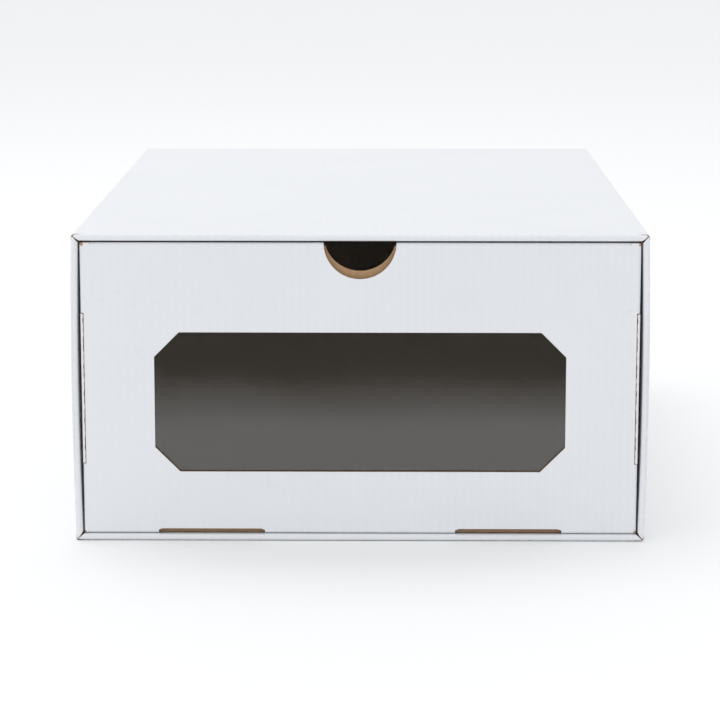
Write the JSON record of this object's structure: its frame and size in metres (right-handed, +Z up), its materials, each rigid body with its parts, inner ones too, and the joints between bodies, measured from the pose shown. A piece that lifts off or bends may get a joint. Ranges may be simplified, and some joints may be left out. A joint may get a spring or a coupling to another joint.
{
  "type": "shoe box",
  "caption": "White corrugated drawer box for shoes: a sleeve with a folded rim, a sliding drawer with a thumb notch and a film window, and a hinged rear flap.",
  "frame": {"origin": "middle of the sleeve's underside", "axes": "+Z up, +X to the right seen from the front, the drawer's front faces -Y and it slides out along -Y"},
  "size_m": [0.23, 0.335, 0.125],
  "materials": {
    "white_board": "corrugated board seen from its white outer liner, matt",
    "kraft_board": "the same board where its brown kraft liner shows, matt",
    "film": "thin, lightly smoked plastic film, glossy"
  },
  "bodies": {
    "sleeve": {"sleeve_top": "white_board", "sleeve_bottom": "white_board", "sleeve_left": "white_board", "sleeve_right": "white_board", "sleeve_glue_flap": "kraft_board", "sleeve_hem_top": "white_board", "sleeve_hem_bottom": "white_board", "sleeve_hem_left": "white_board", "sleeve_hem_right": "white_board", "sleeve_dust_flap_left": "white_board", "sleeve_dust_flap_right": "white_board"},
    "rear_closure": {"rear_flap": "white_board", "rear_tongue": "white_board"},
    "drawer": {"drawer_bottom": "kraft_board", "drawer_front_outer": "white_board", "drawer_front_inner": "white_board", "drawer_front_spine_left": "white_board", "drawer_front_spine_right": "white_board", "drawer_rear_outer": "white_board", "drawer_rear_inner": "white_board", "drawer_rear_spine": "white_board", "drawer_left_outer": "white_board", "drawer_left_inner": "white_board", "drawer_left_spine": "white_board", "drawer_right_outer": "white_board", "drawer_right_inner": "white_board", "drawer_right_spine": "white_board", "corner_flap_front_left": "kraft_board", "corner_flap_front_right": "kraft_board", "corner_flap_rear_left": "kraft_board", "corner_flap_rear_right": "kraft_board", "window_film": "film"}
  },
  "joints": [
    {"name": "drawer_slide", "type": "slide", "parent": "sleeve", "child": "drawer", "axis": [0, -1, 0], "range_m": [0, 0.33]},
    {"name": "rear_flap_hinge", "type": "hinge", "parent": "sleeve", "child": "rear_closure", "pos_m": [0, 0.1675, 0.125], "axis": [1, 0, 0], "range_deg": [0, 120]}
  ]
}
